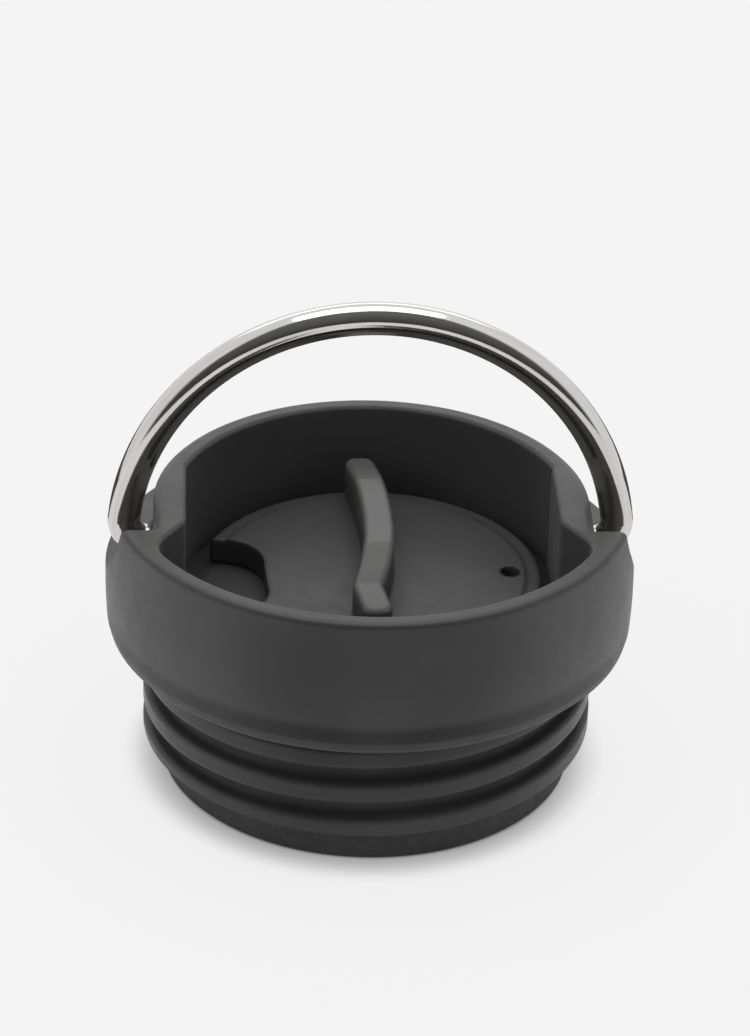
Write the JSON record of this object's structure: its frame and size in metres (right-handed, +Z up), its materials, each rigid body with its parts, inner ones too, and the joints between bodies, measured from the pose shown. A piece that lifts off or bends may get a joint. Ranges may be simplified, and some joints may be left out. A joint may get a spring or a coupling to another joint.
{
  "type": "bottle lid",
  "caption": "Screw-on drinking lid for a wide-mouth bottle, with a stepped collar, a swing bail, and a turning dial with a raised lever that opens or closes the drinking hole.",
  "frame": {"origin": "on the screw axis, in the plane of the plug's foot", "axes": "+Z up along the screw axis, -Y towards the drinking side, +X to the right as seen from the drinking side"},
  "size_m": [0.0646, 0.0646, 0.0618],
  "materials": {
    "collar_plastic": "matte, moulded",
    "plug_plastic": "satin, moulded",
    "dial_plastic": "matte, moulded",
    "bail_steel": "polished stainless rod with faint drawing lines",
    "bush_plastic": "satin",
    "gasket_rubber": "matte",
    "seal_rubber": "matte"
  },
  "bodies": {
    "lid": {"collar": "collar_plastic", "threaded_plug": "plug_plastic", "plug_gasket": "gasket_rubber", "left_pivot_bush": "bush_plastic", "right_pivot_bush": "bush_plastic"},
    "dial": {"dial": "dial_plastic", "drink_seal": "seal_rubber", "vent_seal": "seal_rubber", "hub_ring": "seal_rubber"},
    "bail": {"bail": "bail_steel"}
  },
  "joints": [
    {"name": "dial_turn", "type": "hinge", "parent": "lid", "child": "dial", "pos_m": [0, 0, 0.0236], "axis": [0, 0, 1], "range_deg": [0, 90]},
    {"name": "bail_swing", "type": "hinge", "parent": "lid", "child": "bail", "pos_m": [0, 0, 0.0297], "axis": [1, 0, 0], "range_deg": [-90, 30]}
  ]
}
